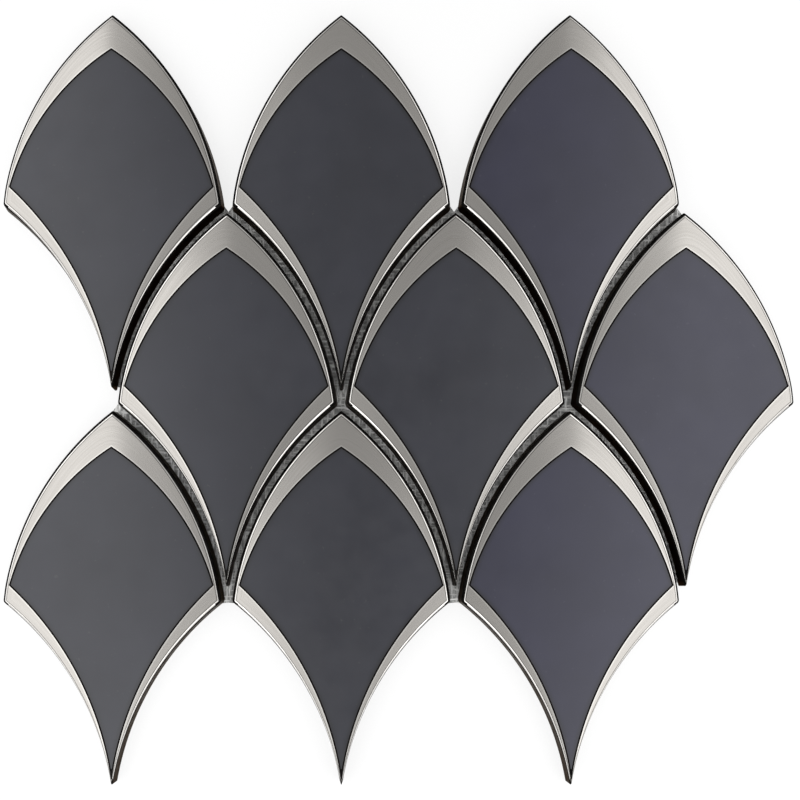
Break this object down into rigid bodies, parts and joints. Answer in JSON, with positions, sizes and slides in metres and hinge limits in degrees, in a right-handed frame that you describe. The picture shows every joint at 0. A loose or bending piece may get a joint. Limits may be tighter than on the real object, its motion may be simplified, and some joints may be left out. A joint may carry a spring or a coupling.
{
  "type": "glass mosaic tile sheet",
  "caption": "Loose mosaic sheet of pointed scale-shaped glass chips with dark satin faces and silver plated bevels, in staggered rows on a thin grey woven backing.",
  "frame": {"origin": "middle of the sheet's outline box, on the underside of the backing", "axes": "+Z out of the chips' faces, +Y towards the chips' pointed tops, +X to the right seen from the front, along the rows"},
  "size_m": [0.2946, 0.2864, 0.0088],
  "materials": {
    "chip_glass": "dark satin face, silver plated bevel and rim",
    "backing": "matt coated weave"
  },
  "bodies": {
    "root": {"chip_top_left": "chip_glass", "chip_top_centre": "chip_glass", "chip_top_right": "chip_glass", "chip_middle_left": "chip_glass", "chip_middle_centre": "chip_glass", "chip_middle_right": "chip_glass", "chip_bottom_left": "chip_glass", "chip_bottom_centre": "chip_glass", "chip_bottom_right": "chip_glass", "mesh_backing": "backing"}
  },
  "joints": []
}
